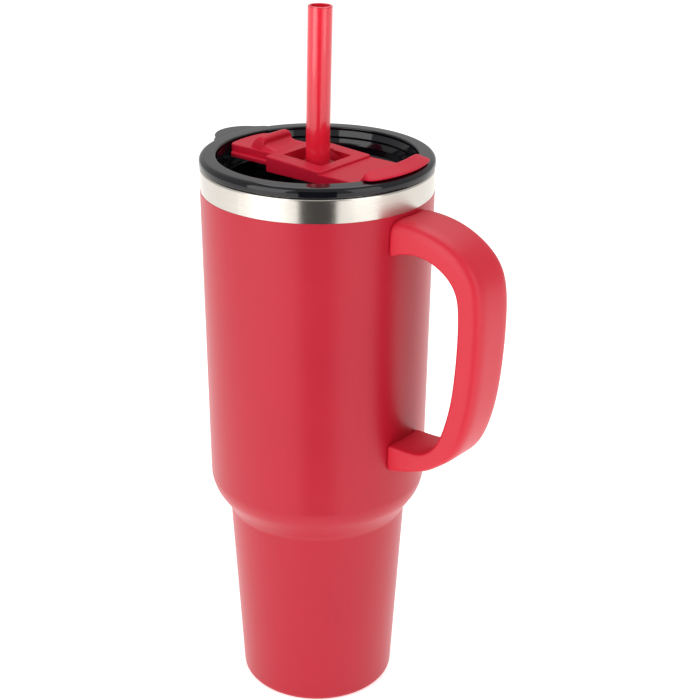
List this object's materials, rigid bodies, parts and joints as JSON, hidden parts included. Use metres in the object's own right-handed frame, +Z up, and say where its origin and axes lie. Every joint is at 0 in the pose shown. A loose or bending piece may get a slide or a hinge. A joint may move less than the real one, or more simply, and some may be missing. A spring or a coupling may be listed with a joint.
{
  "type": "insulated travel mug",
  "caption": "Tall stepped steel vacuum mug with a D handle, press-in lid, turning drink cover and straw.",
  "frame": {"origin": "middle of the base, on the plane that the mug stands on", "axes": "+Z up along the mug's axis towards the straw, +X towards the handle, -X towards the lid's lift tab"},
  "size_m": [0.1531, 0.1024, 0.3234],
  "materials": {
    "powder_coat": "fine satin powder coat, red",
    "bare_steel": "brushed round the axis",
    "base_steel": "brushed in circles",
    "getter_alloy": "sintered, dull",
    "handle_plastic": "fine satin moulded, red",
    "bracket_steel": "pressed, plain",
    "screw_steel": "plain",
    "lid_plastic": "polished, black",
    "rotor_plastic": "satin moulded, red",
    "straw_plastic": "smooth extruded, red",
    "silicone": "soft, dull"
  },
  "bodies": {
    "mug": {"outer_wall": "powder_coat", "inner_liner": "bare_steel", "base_plate": "base_steel", "vacuum_getter": "getter_alloy", "handle": "handle_plastic", "handle_upper_bracket": "bracket_steel", "handle_lower_bracket": "bracket_steel", "handle_screw_left": "screw_steel", "handle_screw_right": "screw_steel", "screw_cover": "handle_plastic"},
    "lid": {"lid_body": "lid_plastic", "lid_gasket": "silicone"},
    "cover": {"lid_rotor": "rotor_plastic", "drink_seal": "silicone", "vent_seal": "silicone", "hub_seal": "silicone", "rotor_retainer": "rotor_plastic", "straw_grommet": "silicone"},
    "straw": {"straw": "straw_plastic"}
  },
  "joints": [
    {"name": "lid_lift", "type": "slide", "parent": "mug", "child": "lid", "axis": [0, 0, 1], "range_m": [0, 0.26]},
    {"name": "cover_turn", "type": "hinge", "parent": "lid", "child": "cover", "pos_m": [0, 0, 0.255], "axis": [0, 0, 1], "range_deg": [0, 90]},
    {"name": "straw_pull", "type": "slide", "parent": "cover", "child": "straw", "axis": [0.0123, 0.0103, 0.9999], "range_m": [0, 0.26]}
  ]
}
